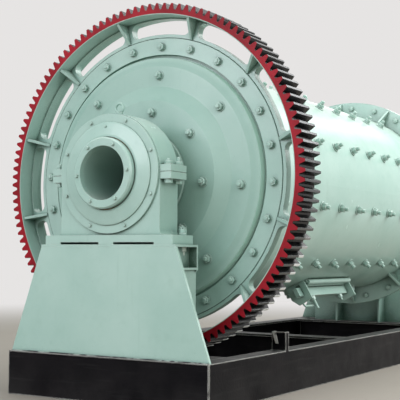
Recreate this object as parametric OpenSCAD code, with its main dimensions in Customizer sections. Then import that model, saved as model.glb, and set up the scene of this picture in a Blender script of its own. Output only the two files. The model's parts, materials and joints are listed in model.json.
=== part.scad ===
// Ball mill: a horizontal grinding drum with a toothed ring gear on its front head, turning in
// two pedestal bearings on a welded base frame. Lengths in mm, Z up, the drum axis along Y.
// The front is -Y, the side with the ring gear. The origin is the middle of the base underside.

/* [Drum] */
// outer radius of the drum shell
shell_r = 770; // [750:5:780]
// thickness of the shell plate
shell_wall = 20; // [16:1:30]
// distance between the outer faces of the two head flanges
drum_length = 3200; // [3000:20:3400]
// how far the head flanges and shell flanges stand out from the shell
flange_width = 144; // [134:1:148]
// thickness of a head flange
head_flange_t = 34; // [28:1:40]
// thickness of a shell flange
shell_flange_t = 36; // [28:1:44]
// radial gussets between each shell flange and the shell
gusset_count = 12; // [6:1:16]
// length of a shell gusset along the drum
gusset_length = 110; // [60:5:150]
// height of the drum axis above the floor
axis_height = 1360; // [1340:5:1420]

/* [Heads] */
// radial width of the groove between the flange and the stepped face
groove_width = 20; // [12:1:32]
// depth of the groove behind the flange face
groove_depth = 23; // [12:1:28]
// how far the shoulder beside the groove stands before the flange face
shoulder_reach = 26; // [10:1:36]
// how far the outer band stands before the flange face
band_reach = 50; // [40:1:64]
// how far the inner band stands before the flange face
inner_band_reach = 96; // [84:1:110]
// radius where the outer band starts to slope to the inner band
slope_out_r = 592; // [560:1:640]
// radius where the slope meets the inner band
slope_in_r = 497; // [440:1:530]
// radius of the trunnion flange and of its seat in the head
hub_r = 290; // [270:1:310]
// thickness of the head wall along the drum
head_wall = 60; // [44:1:70]

/* [Ring gear] */
// tooth module
tooth_module = 18; // [17.6:0.1:18.2]
// face width of the ring gear
gear_width = 216; // [200:2:230]
// how far the rim stands forward of the seat of the web
gear_reach = 146; // [130:1:156]
// least thickness of the rim below the tooth roots
rim_t = 30; // [24:1:36]
// length of a web spoke from the flange to the rim
spoke_length = 131.5; // [122:0.5:140]
// thickness of the gear web between head flange and shell flange
web_t = 30; // [24:1:40]
// how much thicker the web gets outside the head flange, towards the front
web_step = 30; // [16:1:34]
// number of windows in the web
windows = 12; // [8:1:14]
// width of a web spoke at its narrowest
spoke_width = 66; // [54:2:90]
// corner radius of a web window
window_corner = 42; // [24:2:46]
// thickness of the rib on each spoke
rib_t = 18; // [12:1:24]

/* [Trunnions] */
// radius of the journal
journal_r = 200; // [190:1:208]
// radius of the bore through a trunnion
throat_r = 163; // [150:1:168]
// outer radius of the trunnion end ring
end_ring_r = 215; // [212:1:218]
// thickness of the trunnion end ring
end_ring_t = 38; // [30:1:44]
// radial running gap between journal and bush
running_gap = 0.3; // [0.2:0.1:0.5]

/* [Bearings] */
// distance from a head flange face to the middle of its bearing
bearing_reach = 397; // [390:1:402]
// radius of the round bearing cap, half the width of the housing
housing_r = 365; // [355:1:372]
// depth of the housing along the drum axis
housing_depth = 190; // [170:2:200]
// bore radius of the housing, outside of the bush
bush_r = 270; // [260:2:280]
// radius of the bolted ring of the end cover
cover_ring_r = 360; // [345:1:370]
// thickness of the bolted ring of the end cover
cover_ring_t = 15; // [10:1:20]
// outer radius of the seal cover
seal_r = 310; // [300:1:320]
// height of the joint ears, each half
ear_t = 42; // [34:1:50]
// reach of a joint ear from the housing side
ear_reach = 75; // [60:1:85]
// half width of the bearing foot
foot_half = 472; // [440:1:480]
// corner radius of the bearing foot
foot_corner = 14; // [10:1:40]
// height of the bearing foot
foot_t = 55; // [45:1:65]
// depth of the foot along the drum axis
foot_depth = 236; // [216:2:236]

/* [Pedestals] */
// distance from the drum axis down to the top of the pedestal plate
plate_drop = 425; // [415:1:435]
// thickness of the pedestal top plate
plate_t = 14; // [10:1:20]
// distance from the bearing middle out to the front face of the pedestal
pedestal_front = 125; // [118:1:135]
// depth of the pedestal along the drum axis
pedestal_depth = 244; // [236:2:250]
// half width of the pedestal at its top
pedestal_top_half = 497; // [485:1:510]
// how far the foot of the front plate stands in from each side of the base
foot_inset = 6; // [2:1:50]
// thickness of the pedestal front plate
pedestal_plate_t = 20; // [14:1:26]
// thickness of the pedestal side walls and shelf
pedestal_wall_t = 14; // [10:1:18]
// height of the open side pocket under the top plate
pocket_height = 120; // [80:5:160]
// how far the pocket wall stands back from the pedestal side
pocket_depth = 62; // [40:2:90]
// reach of the two stiffening ribs on the drum side
pedestal_rib = 125; // [60:5:125]

/* [Base frame] */
// height of the base beams
beam_height = 270; // [250:5:290]
// width of a beam flange
beam_flange = 120; // [100:5:130]
// thickness of a beam web
beam_web_t = 12; // [8:1:16]
// thickness of a beam flange
beam_flange_t = 18; // [12:1:24]
// half width of the base
base_half = 732; // [730:1:760]
// distance from the bearing middle out to the end of the base
base_overhang = 147; // [140:1:160]

/* [Manhole] */
// angle of the manhole's upper edge below the horizontal on the right side
manhole_angle = 60; // [50:1:66]
// distance of the manhole middle from the drum middle, to the rear
manhole_offset = 204; // [100:4:260]
// distance between the two clamp brackets
bracket_span = 793; // [700:1:850]
// thickness of a clamp bracket
bracket_t = 16; // [10:1:20]
// height of a clamp bracket from the shell
bracket_height = 147; // [130:1:160]
// width of a clamp bracket around the drum
bracket_width = 158; // [140:1:180]
// how far the lower corner of a bracket is cut off, around the drum
bracket_cut = 38; // [10:1:50]
// thickness of the pad welded round the manhole
pad_t = 22; // [14:1:26]
// thickness of the manhole cover
cover_t = 12; // [8:1:14]
// height of the clamp beam
beam_tall = 68; // [60:1:80]
// thickness of the clamp beam
beam_thick = 32; // [24:1:40]

/* [Hidden] */
tiny = 0.01;
round_fn = 128;
small_fn = 32;
half_drum = drum_length / 2;
flange_r = shell_r + flange_width;
// planes of the front end, from the front to the back
head_face_y = -half_drum;
web_front_y = head_face_y + head_flange_t;
web_back_y = web_front_y + web_t;
shell_front_y = web_back_y;
// the rear end has no gear web between head and shell
shell_rear_y = half_drum - head_flange_t;
shell_in_r = shell_r - shell_wall;
// the ring gear gets as many teeth as fit round the web, 122 here
least_root_r = flange_r + spoke_length + rim_t;
teeth = round(2 * least_root_r / tooth_module + 2.5);
// ring gear radii
pitch_r = teeth * tooth_module / 2;
tip_r = pitch_r + tooth_module;
root_r = pitch_r - 1.25 * tooth_module;
base_circle_r = pitch_r * cos(20);
rim_in_r = root_r - rim_t;
gear_front_y = web_front_y - gear_reach;
gear_back_y = gear_front_y + gear_width;
tooth_phase = 0.473;
spoke_phase = 13.3;
web_face_y = web_front_y - web_step;
window_in_r = flange_r + 24;
window_out_r = rim_in_r - 9;
// the head flange lies in a rebate of the web
rebate_gap = 3;
web_in_r = flange_r + rebate_gap;
// ribs on the web: how far they stay behind the rim face, and their height at the flange
rib_setback = 14;
rib_lip = 8;
// head profile planes and radii
groove_y = head_face_y + groove_depth;
band_y = head_face_y - band_reach;
inner_band_y = head_face_y - inner_band_reach;
groove_in_r = shell_r + 16;
groove_out_r = groove_in_r + groove_width;
band_out_r = shell_r - 47;
// draft and chamfers of the head casting
head_chamfer = 3;
shoulder_draft = 6;
slope_shift = 10;
// the head fits into the shell end with a spigot
spigot_gap = 1;
spigot_wall = 20;
spigot_length = 24;
// the trunnion flange stands on the inner band
trunnion_flange_t = 20;
trunnion_flange_y = inner_band_y - trunnion_flange_t;
// the neck is thicker than the journal and has a fillet at its flange
neck_r = journal_r + 14;
neck_fillet = 36;
// the throat widens in the head
flare_r = 240;
// bearing planes at the front
bearing_y = head_face_y - bearing_reach;
housing_front_y = bearing_y - housing_depth / 2;
housing_back_y = bearing_y + housing_depth / 2;
cover_face_y = housing_front_y - cover_ring_t;
seal_face_y = cover_face_y - 27;
ring_face_y = housing_front_y - 80;
ring_back_y = ring_face_y + end_ring_t;
foot_top_z = axis_height - plate_drop + foot_t;
plate_top_z = axis_height - plate_drop;
plate_bottom_z = plate_top_z - plate_t;
pedestal_front_y = bearing_y - pedestal_front;
pedestal_back_y = pedestal_front_y + pedestal_depth;
pedestal_foot_half = base_half - foot_inset;
// the side walls stand in from the ends of the top plate
side_inset = 14;
pedestal_side_half = pedestal_top_half - side_inset;
shelf_z = plate_bottom_z - pocket_height;
cover_back_y = housing_back_y + cover_ring_t;
seal_gap = 5;
// the ears stand back from the housing faces and reach into the cap
ear_front = 2;
ear_back = 20;
ear_root = 24;
weld_gap = 0.1;
seat_gap = 0.2;
// inner cross beams stand under the drum side of the pedestals
cross_width = 155;
cross_y = -(pedestal_back_y + 60);
base_long = base_overhang - bearing_y;
// ribs on the drum side of the pedestal
rib_middle_x = 208;
rib_wall = 18;
rib_shoulder = 300;
rib_top = 40;
// lifting slots under the bearing foot
slot_middle_x = 200;
slot_length = 290;
slot_height = 13;
slot_wall = 40;
// step round the joint of the ears, which shows as a dark line
joint_step = 3;
joint_line = 2;
// fillet between housing side and foot
foot_fillet = 26;
// lifting eye on the cap
eye_r = 28;
eye_bar_r = 8;
eye_height = 44;
eye_collar_r = 22;
// lugs on the side beams, measured back from the seat of the web
lug_reach = 376;
lug_y = web_front_y + lug_reach;
lug_width = 100;
lug_depth = 43;
lug_height = 120;
lug_t = 10;
// pad of the manhole, with a rolled lip along its long sides, and the cover on it
pad_r = shell_r + pad_t;
pad_over = 15;
pad_length = bracket_span - 2;
lip_r = 20;
lip_in = 3;
lip_short = 22;
lip_axis_r = shell_r + seat_gap + lip_r;
cover_in = 12;
cover_short = 58;
// slot of the clamp brackets round the beam, and the height of their cut corner
slot_gap = 2;
slot_play = 10;
slot_root = 10;
bracket_cut_out = 60;
// clamp beam place, measured out from the shell and round from the bracket's upper edge
beam_out = 36;
beam_round = 48;
beam_over = 90;

// sets a flat outline upright about the drum axis, from plane y1 back to plane y2
module disc_between(y1, y2) {
    translate([0, y2, axis_height])
        rotate([90, 0, 0])
            linear_extrude(y2 - y1)
                children();
}

// turns a profile of [radius, y] points about the drum axis
module turned(points) {
    translate([0, 0, axis_height])
        rotate([-90, 0, 0])
            rotate_extrude($fn = round_fn)
                polygon(points);
}

// the same piece at the rear end
module rear() {
    mirror([0, 1, 0])
        children();
}

// involute helper: the angle in degrees of the involute function
function inv(a) = tan(a) * 180 / PI - a;

// half the tooth angle at radius r
function half_tooth(r) = 90 / teeth + inv(20) - inv(acos(base_circle_r / r));

function on_circle(r, a) = [r * cos(a), r * sin(a)];

// outline points of one tooth with its middle at angle a
function tooth(a) = [
    on_circle(root_r, a - half_tooth(root_r)),
    on_circle(pitch_r, a - half_tooth(pitch_r)),
    on_circle(tip_r, a - half_tooth(tip_r)),
    on_circle(tip_r, a + half_tooth(tip_r)),
    on_circle(pitch_r, a + half_tooth(pitch_r)),
    on_circle(root_r, a + half_tooth(root_r))
];

// toothed rim of the ring gear
module gear_rim() {
    color([0.62, 0.13, 0.2])
        disc_between(gear_front_y, gear_back_y)
            difference() {
                polygon([for (k = [0:teeth - 1]) each tooth(tooth_phase + k * 360 / teeth)]);
                circle(r = rim_in_r, $fn = round_fn);
            }
}

// points of a circle arc round centre c from angle a1 to a2 in n steps
function arc(c, r, a1, a2, n) = [for (i = [0:n]) c + on_circle(r, a1 + (a2 - a1) * i / n)];

// the points mirrored about the X axis, in reverse order
function mirrored(points) = [
    for (i = [len(points) - 1:-1:0]) [points[i].x, -points[i].y]
];

// one window of the web with round corners, its middle on the +X axis
module window() {
    half = 180 / windows;
    c = window_corner;
    // angles of the corner centres from the middle of the window
    in_a = half - asin((spoke_width / 2 + c) / (window_in_r + c));
    out_a = half - asin((spoke_width / 2 + c) / (window_out_r - c));
    upper = concat(
        arc([0, 0], window_out_r, 0, out_a, 5),
        arc(on_circle(window_out_r - c, out_a), c, out_a + 15, half + 90, 5),
        arc(on_circle(window_in_r + c, in_a), c, half + 90, in_a + 165, 5),
        arc([0, 0], window_in_r, in_a, in_a / 5, 4)
    );
    polygon(concat(upper, mirrored(upper)));
}

// web of the ring gear, clamped between head flange and shell flange and thicker round them
module gear_web() {
    color([0.62, 0.76, 0.7])
        difference() {
            disc_between(web_face_y, web_back_y)
                difference() {
                    circle(r = rim_in_r, $fn = round_fn);
                    circle(r = shell_in_r, $fn = round_fn);
                    for (k = [0:windows - 1])
                        rotate(spoke_phase + (k + 0.5) * 360 / windows)
                            window();
                }
            disc_between(web_face_y - 1, web_front_y)
                circle(r = web_in_r, $fn = round_fn);
        }
}

// one rib on the front of every spoke
module gear_ribs() {
    color([0.62, 0.76, 0.7])
        translate([0, 0, axis_height])
            for (k = [0:windows - 1])
                rotate([0, -spoke_phase - k * 360 / windows, 0])
                    translate([0, 0, -rib_t / 2])
                        linear_extrude(rib_t)
                            polygon([
                                [web_in_r + weld_gap, web_face_y],
                                [rim_in_r - weld_gap, web_face_y],
                                [rim_in_r - weld_gap, gear_front_y + rib_setback],
                                [rim_in_r - rib_lip, gear_front_y + rib_setback],
                                [web_in_r + weld_gap, web_face_y - rib_lip]
                            ]);
}

// rolled shell of the drum
module shell() {
    color([0.62, 0.78, 0.72])
        disc_between(shell_front_y, shell_rear_y)
            difference() {
                circle(r = shell_r, $fn = round_fn);
                circle(r = shell_in_r, $fn = round_fn);
            }
}

// flange ring and gussets of the shell, at plane y1 with the gussets running to the back
module shell_flange(y1) {
    disc_between(y1, y1 + shell_flange_t)
        difference() {
            circle(r = flange_r, $fn = round_fn);
            circle(r = shell_r, $fn = round_fn);
        }
    translate([0, 0, axis_height])
        for (k = [0:gusset_count - 1])
            rotate([0, -4 - k * 360 / gusset_count, 0])
                translate([0, 0, -8])
                    linear_extrude(16)
                        polygon([
                            [shell_r, y1 + shell_flange_t - 2],
                            [flange_r - 12, y1 + shell_flange_t - 2],
                            [flange_r - 12, y1 + shell_flange_t + 14],
                            [shell_r + 14, y1 + shell_flange_t + gusset_length],
                            [shell_r, y1 + shell_flange_t + gusset_length]
                        ]);
}

// flange of the shell behind the ring gear
module front_shell_flange() {
    color([0.6, 0.75, 0.69])
        shell_flange(shell_front_y);
}

// flange of the shell at the rear end
module rear_shell_flange() {
    color([0.6, 0.75, 0.69])
        rear()
            shell_flange(-shell_rear_y);
}

// cast head of the drum with its stepped face
module head() {
    turned([
        [flange_r, web_front_y],
        [flange_r, head_face_y + head_chamfer],
        [flange_r - head_chamfer, head_face_y],
        [groove_out_r, head_face_y],
        [groove_out_r - head_chamfer, groove_y],
        [groove_in_r, groove_y],
        [groove_in_r - shoulder_draft, head_face_y - shoulder_reach],
        [band_out_r, band_y],
        [slope_out_r, band_y],
        [slope_in_r, inner_band_y],
        [hub_r, inner_band_y],
        [hub_r, inner_band_y + head_wall],
        [slope_in_r - slope_shift, inner_band_y + head_wall],
        [slope_out_r - slope_shift, band_y + head_wall],
        [shell_in_r - spigot_wall, band_y + head_wall],
        [shell_in_r - spigot_wall, web_front_y + spigot_length],
        [shell_in_r - spigot_gap, web_front_y + spigot_length],
        [shell_in_r - spigot_gap, web_front_y]
    ]);
}

// head at the front end
module front_head() {
    color([0.64, 0.8, 0.74])
        head();
}

// head at the rear end
module rear_head() {
    color([0.64, 0.8, 0.74])
        rear()
            head();
}

// hollow journal, flared inside towards the drum
module trunnion() {
    turned([
        [hub_r, inner_band_y + head_wall],
        [hub_r, inner_band_y],
        [neck_r, inner_band_y],
        [neck_r, cover_back_y + 10],
        [journal_r, cover_back_y + 10],
        [journal_r, ring_back_y],
        [throat_r, ring_back_y],
        [throat_r, inner_band_y],
        [flare_r, inner_band_y + head_wall]
    ]);
}

// flange on the journal, against the head
module trunnion_flange() {
    turned([
        [neck_r, inner_band_y],
        [hub_r, inner_band_y],
        [hub_r, trunnion_flange_y + 4],
        [hub_r - 4, trunnion_flange_y],
        [neck_r + neck_fillet, trunnion_flange_y],
        [neck_r, trunnion_flange_y - neck_fillet]
    ]);
}

// journal flange at the front
module front_trunnion_flange() {
    color([0.62, 0.78, 0.72])
        trunnion_flange();
}

// journal flange at the rear
module rear_trunnion_flange() {
    color([0.62, 0.78, 0.72])
        rear()
            trunnion_flange();
}

// journal at the front end
module front_trunnion() {
    color([0.55, 0.57, 0.56])
        trunnion();
}

// journal at the rear end
module rear_trunnion() {
    color([0.55, 0.57, 0.56])
        rear()
            trunnion();
}

// ring bolted on the end of the journal
module end_ring() {
    turned([
        [throat_r, ring_back_y],
        [end_ring_r, ring_back_y],
        [end_ring_r, ring_face_y + 10],
        [end_ring_r - 9, ring_face_y],
        [throat_r, ring_face_y]
    ]);
}

// end ring at the front
module front_trunnion_ring() {
    color([0.64, 0.8, 0.74])
        end_ring();
}

// end ring at the rear
module rear_trunnion_ring() {
    color([0.64, 0.8, 0.74])
        rear()
            end_ring();
}

// places a piece at the manhole: Z out from the drum axis along the bracket's upper edge, X round
// the drum from that edge downward, Y along the drum from the manhole middle
module at_manhole() {
    translate([0, manhole_offset, axis_height])
        rotate([0, 90 + manhole_angle, 0])
            children();
}

// curved slab on the shell, between radii r1 and r2, x1 and x2 round, l long
module curved_slab(r1, r2, x1, x2, l) {
    translate([0, l / 2, 0])
        rotate([90, 0, 0])
            linear_extrude(l)
                intersection() {
                    difference() {
                        circle(r = r2, $fn = round_fn);
                        circle(r = r1, $fn = round_fn);
                    }
                    translate([x1, r1 / 2])
                        square([x2 - x1, r2]);
                }
}

// pad welded on the shell round the manhole
module manhole_pad() {
    color([0.62, 0.78, 0.72])
        at_manhole() {
            curved_slab(shell_r + seat_gap, pad_r, -pad_over, bracket_width + pad_over, pad_length);
            // rolled lip along both long sides
            for (x = [lip_in - pad_over, bracket_width + pad_over - lip_in])
                translate([x, (pad_length - lip_short) / 2, sqrt(pow(lip_axis_r, 2) - pow(x, 2))])
                    rotate([90, 0, 0])
                        cylinder(r = lip_r, h = pad_length - lip_short, $fn = small_fn);
        }
}

// cover plate on the pad
module manhole_cover() {
    color([0.6, 0.76, 0.7])
        at_manhole()
            curved_slab(pad_r + seat_gap, pad_r + cover_t, cover_in, bracket_width - cover_in,
                        pad_length - cover_short);
}

// two bracket plates on the shell, one at each end of the manhole
module manhole_brackets() {
    color([0.6, 0.75, 0.69])
        at_manhole()
            for (s = [-1, 1])
                translate([0, s * (bracket_span / 2 + bracket_t / 2) + bracket_t / 2, 0])
                    rotate([90, 0, 0])
                        linear_extrude(bracket_t)
                            difference() {
                                polygon([
                                    [0, shell_r / 2],
                                    [bracket_width, shell_r / 2],
                                    [bracket_width, shell_r + bracket_height - bracket_cut_out],
                                    [bracket_width - bracket_cut, shell_r + bracket_height],
                                    [0, shell_r + bracket_height]
                                ]);
                                circle(r = shell_r + seat_gap, $fn = round_fn);
                                // the beam bears on the outer edge of its slot
                                translate([beam_round - slot_gap, shell_r + slot_root])
                                    square([beam_thick + slot_play,
                                            beam_out + beam_tall + seat_gap - slot_root]);
                            }
}

// clamp beam through the two brackets
module manhole_beam() {
    color([0.68, 0.84, 0.78])
        at_manhole()
            translate([beam_round, -bracket_span / 2 - beam_over, shell_r + beam_out])
                cube([beam_thick, bracket_span + 2 * beam_over, beam_tall]);
}

// outline of the bearing foot with rounded corners
module foot_outline() {
    square([2 * foot_half, foot_depth - 2 * foot_corner], center = true);
    square([2 * foot_half - 2 * foot_corner, foot_depth], center = true);
    for (sx = [-1, 1], sy = [-1, 1])
        translate([sx * (foot_half - foot_corner), sy * (foot_depth / 2 - foot_corner)])
            circle(r = foot_corner, $fn = small_fn);
}

// both joint ears between heights z1 and z2, drawn in by inset on their free sides
module ears(z1, z2, inset) {
    reach = ear_reach + ear_root - inset;
    for (s = [-1, 1])
        translate([s * (housing_r - ear_root + reach / 2) - reach / 2,
                   housing_front_y + ear_front + inset, z1])
            cube([reach, housing_depth - ear_front - ear_back - 2 * inset, z2 - z1]);
}

// side outline of the housing block with a fillet at its foot, from the foot upward
module housing_outline() {
    h = axis_height - foot_top_z;
    corner = [housing_r + foot_fillet, foot_fillet];
    right = concat(
        [[0, -1], [housing_r + foot_fillet, -1]],
        arc(corner, foot_fillet, 270, 180, 6),
        [[housing_r, h], [0, h]]
    );
    polygon(right);
    mirror([1, 0])
        polygon(right);
}

// lower half of a bearing housing with its foot and joint ears
module bearing_base() {
    difference() {
        union() {
            translate([0, housing_back_y, foot_top_z])
                rotate([90, 0, 0])
                    linear_extrude(housing_depth)
                        housing_outline();
            translate([0, pedestal_front_y + foot_depth / 2, plate_top_z])
                linear_extrude(foot_t)
                    foot_outline();
            ears(axis_height - ear_t, axis_height - joint_line, 0);
            ears(axis_height - joint_line - tiny, axis_height, joint_step);
        }
        translate([0, housing_back_y + 1, axis_height])
            rotate([90, 0, 0])
                cylinder(r = bush_r, h = housing_depth + 2, $fn = round_fn);
        for (s = [-1, 1])
            translate([s * slot_middle_x - slot_length / 2, pedestal_front_y - 1, plate_top_z - 1])
                cube([slot_length, foot_depth - slot_wall + 1, slot_height + 1]);
    }
}

// upper half of a bearing housing with its joint ears
module bearing_cap() {
    disc_between(housing_front_y, housing_back_y)
        difference() {
            intersection() {
                circle(r = housing_r, $fn = round_fn);
                translate([-housing_r - 1, 0])
                    square([2 * housing_r + 2, housing_r + 1]);
            }
            circle(r = bush_r, $fn = round_fn);
        }
    ears(axis_height, axis_height + joint_line + tiny, joint_step);
    ears(axis_height + joint_line, axis_height + ear_t, 0);
}

// bush that carries the journal
module bush() {
    disc_between(housing_front_y + 10, housing_back_y - 10)
        difference() {
            circle(r = bush_r, $fn = round_fn);
            circle(r = journal_r + running_gap, $fn = round_fn);
        }
}

// bolted ring on the outer face of the housing
module end_cover() {
    disc_between(cover_face_y, housing_front_y)
        difference() {
            circle(r = cover_ring_r, $fn = round_fn);
            circle(r = seal_r, $fn = round_fn);
        }
}

// dished cover inside the bolted ring, round the trunnion end ring
module seal_cover() {
    turned([
        [seal_r, housing_front_y],
        [seal_r, cover_face_y - 8],
        [seal_r - 10, cover_face_y - 12],
        [end_ring_r + seal_gap + 14, seal_face_y],
        [end_ring_r + seal_gap, seal_face_y],
        [end_ring_r + seal_gap, housing_front_y]
    ]);
}

// plain cover on the drum side of the housing
module inner_cover() {
    disc_between(housing_back_y, housing_back_y + cover_ring_t)
        difference() {
            circle(r = cover_ring_r, $fn = round_fn);
            circle(r = journal_r + seal_gap, $fn = round_fn);
        }
}

// lifting eye on top of the cap, a ring on a round collar
module lifting_eye() {
    translate([0, bearing_y, axis_height + housing_r + eye_height])
        rotate([90, 0, 0])
            rotate_extrude($fn = small_fn)
                translate([eye_r, 0])
                    circle(r = eye_bar_r, $fn = 16);
    translate([0, bearing_y, axis_height + housing_r + seat_gap])
        cylinder(r = eye_collar_r, h = eye_height - eye_r, $fn = small_fn);
}

// lower housing at the front
module front_bearing_base() {
    color([0.64, 0.8, 0.74])
        bearing_base();
}

// upper housing at the front
module front_bearing_cap() {
    color([0.66, 0.82, 0.76])
        bearing_cap();
}

// bush at the front
module front_bush() {
    color([0.72, 0.6, 0.35])
        bush();
}

// bolted cover ring at the front
module front_end_cover() {
    color([0.64, 0.8, 0.74])
        end_cover();
}

// seal cover at the front
module front_seal_cover() {
    color([0.64, 0.8, 0.74])
        seal_cover();
}

// drum side cover at the front
module front_inner_cover() {
    color([0.6, 0.75, 0.69])
        inner_cover();
}

// lifting eye at the front
module front_lifting_eye() {
    color([0.6, 0.75, 0.69])
        lifting_eye();
}

// lower housing at the rear
module rear_bearing_base() {
    color([0.64, 0.8, 0.74])
        rear()
            bearing_base();
}

// upper housing at the rear
module rear_bearing_cap() {
    color([0.66, 0.82, 0.76])
        rear()
            bearing_cap();
}

// bush at the rear
module rear_bush() {
    color([0.72, 0.6, 0.35])
        rear()
            bush();
}

// bolted cover ring at the rear
module rear_end_cover() {
    color([0.64, 0.8, 0.74])
        rear()
            end_cover();
}

// seal cover at the rear
module rear_seal_cover() {
    color([0.64, 0.8, 0.74])
        rear()
            seal_cover();
}

// drum side cover at the rear
module rear_inner_cover() {
    color([0.6, 0.75, 0.69])
        rear()
            inner_cover();
}

// lifting eye at the rear
module rear_lifting_eye() {
    color([0.6, 0.75, 0.69])
        rear()
            lifting_eye();
}

// rear wall of the pedestal, wider at the pocket than below it
module pedestal_back() {
    top = plate_bottom_z - beam_height;
    lip = shelf_z - pedestal_wall_t - beam_height;
    polygon([
        [-pedestal_side_half, 0],
        [pedestal_side_half, 0],
        [pedestal_side_half, lip - 16],
        [pedestal_top_half, lip],
        [pedestal_top_half, top],
        [-pedestal_top_half, top],
        [-pedestal_top_half, lip],
        [-pedestal_side_half, lip - 16]
    ]);
}

// welded pedestal without its top plate
module pedestal() {
    inner = pedestal_depth - pedestal_plate_t - pedestal_wall_t + 2 * tiny;
    inner_y = pedestal_front_y + pedestal_plate_t - tiny;
    translate([0, pedestal_front_y + pedestal_plate_t, beam_height])
        rotate([90, 0, 0])
            linear_extrude(pedestal_plate_t)
                polygon([
                    [-pedestal_foot_half, 0],
                    [pedestal_foot_half, 0],
                    [pedestal_top_half, plate_bottom_z - beam_height],
                    [-pedestal_top_half, plate_bottom_z - beam_height]
                ]);
    translate([0, pedestal_back_y, beam_height])
        rotate([90, 0, 0])
            linear_extrude(pedestal_wall_t)
                pedestal_back();
    for (s = [-1, 1]) {
        translate([s * (pedestal_side_half - pedestal_wall_t / 2) - pedestal_wall_t / 2,
                   inner_y, beam_height])
            cube([pedestal_wall_t, inner, shelf_z - beam_height - tiny]);
        translate([s * (pedestal_top_half - pocket_depth) - pedestal_wall_t / 2,
                   inner_y, shelf_z - tiny])
            cube([pedestal_wall_t, inner, plate_bottom_z - shelf_z + tiny]);
    }
    translate([-pedestal_top_half, inner_y, shelf_z - pedestal_wall_t])
        cube([2 * pedestal_top_half, inner, pedestal_wall_t]);
}

// two stiffening ribs on the drum side of the pedestal
module pedestal_ribs() {
    for (s = [-1, 1])
        translate([s * rib_middle_x - rib_wall / 2, 0, 0])
            rotate([90, 0, 90])
                linear_extrude(rib_wall)
                    polygon([
                        [pedestal_back_y, beam_height],
                        [pedestal_back_y + pedestal_rib, beam_height],
                        [pedestal_back_y + pedestal_rib, beam_height + rib_shoulder],
                        [pedestal_back_y + rib_top, plate_bottom_z],
                        [pedestal_back_y, plate_bottom_z]
                    ]);
}

// plate on top of the pedestal under the bearing foot
module pedestal_plate() {
    translate([-pedestal_top_half, pedestal_front_y, plate_bottom_z])
        cube([2 * pedestal_top_half, pedestal_depth, plate_t]);
}

// stiffening ribs at the front
module front_pedestal_ribs() {
    color([0.6, 0.75, 0.69])
        pedestal_ribs();
}

// stiffening ribs at the rear
module rear_pedestal_ribs() {
    color([0.6, 0.75, 0.69])
        rear()
            pedestal_ribs();
}

// pedestal at the front
module front_pedestal() {
    color([0.64, 0.8, 0.74])
        pedestal();
}

// top plate at the front
module front_pedestal_plate() {
    color([0.6, 0.75, 0.69])
        pedestal_plate();
}

// pedestal at the rear
module rear_pedestal() {
    color([0.64, 0.8, 0.74])
        rear()
            pedestal();
}

// top plate at the rear
module rear_pedestal_plate() {
    color([0.6, 0.75, 0.69])
        rear()
            pedestal_plate();
}

// section of a channel beam, its web on the left, its flanges to the right
module channel() {
    square([beam_web_t, beam_height]);
    square([beam_flange, beam_flange_t]);
    translate([0, beam_height - beam_flange_t])
        square([beam_flange, beam_flange_t]);
}

// section of a cross beam, web in the middle
module beam_section(width) {
    translate([-beam_web_t / 2, 0])
        square([beam_web_t, beam_height]);
    translate([-width / 2, 0])
        square([width, beam_flange_t]);
    translate([-width / 2, beam_height - beam_flange_t])
        square([width, beam_flange_t]);
}

// end beam of the base: a full width web with flanges between the side beams
module end_beam() {
    translate([-base_half, -base_long, 0])
        cube([2 * base_half, beam_web_t, beam_height]);
    translate([-base_half + beam_flange, -base_long, 0])
        rotate([90, 0, 90])
            linear_extrude(2 * (base_half - beam_flange))
                channel();
}

// upright channel lug on the left side beam
module lug() {
    translate([-base_half, lug_y, beam_height - tiny])
        difference() {
            cube([lug_width, lug_depth, lug_height + tiny]);
            translate([lug_t, lug_t, -1])
                cube([lug_width - 2 * lug_t, lug_depth, lug_height + 2]);
        }
}

// side beam of the base with its web outside and a lug on top
module side_beam() {
    translate([-base_half, base_long - beam_web_t, 0])
        rotate([90, 0, 0])
            linear_extrude(2 * (base_long - beam_web_t))
                channel();
    lug();
}

// cross beam of the base between the side beams
module cross_beam(y, width) {
    translate([-base_half + beam_flange, y, 0])
        rotate([90, 0, 90])
            linear_extrude(2 * (base_half - beam_flange))
                beam_section(width);
}

// beam under the front pedestal face
module front_beam() {
    color([0.16, 0.16, 0.17])
        end_beam();
}

// beam under the rear pedestal face
module rear_beam() {
    color([0.16, 0.16, 0.17])
        rear()
            end_beam();
}

// beam on the left side
module left_beam() {
    color([0.16, 0.16, 0.17])
        side_beam();
}

// beam on the right side
module right_beam() {
    color([0.16, 0.16, 0.17])
        mirror([1, 0, 0])
            side_beam();
}

// cross beam behind the front pedestal
module front_cross_beam() {
    color([0.16, 0.16, 0.17])
        cross_beam(-cross_y, cross_width);
}

// cross beam under the middle of the drum
module middle_cross_beam() {
    color([0.16, 0.16, 0.17])
        cross_beam(0, beam_flange);
}

// cross beam before the rear pedestal
module rear_cross_beam() {
    color([0.16, 0.16, 0.17])
        cross_beam(cross_y, cross_width);
}

front_beam();
rear_beam();
left_beam();
right_beam();
front_cross_beam();
middle_cross_beam();
rear_cross_beam();
front_pedestal();
front_pedestal_ribs();
front_pedestal_plate();
rear_pedestal_ribs();
rear_pedestal();
rear_pedestal_plate();
front_bearing_base();
front_bearing_cap();
front_bush();
front_end_cover();
front_seal_cover();
front_inner_cover();
front_lifting_eye();
rear_bearing_base();
rear_bearing_cap();
rear_bush();
rear_end_cover();
rear_seal_cover();
rear_inner_cover();
rear_lifting_eye();
shell();
front_shell_flange();
rear_shell_flange();
front_head();
rear_head();
front_trunnion();
rear_trunnion();
front_trunnion_flange();
rear_trunnion_flange();
front_trunnion_ring();
rear_trunnion_ring();
gear_rim();
gear_web();
gear_ribs();
manhole_pad();
manhole_cover();
manhole_brackets();
manhole_beam();
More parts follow.
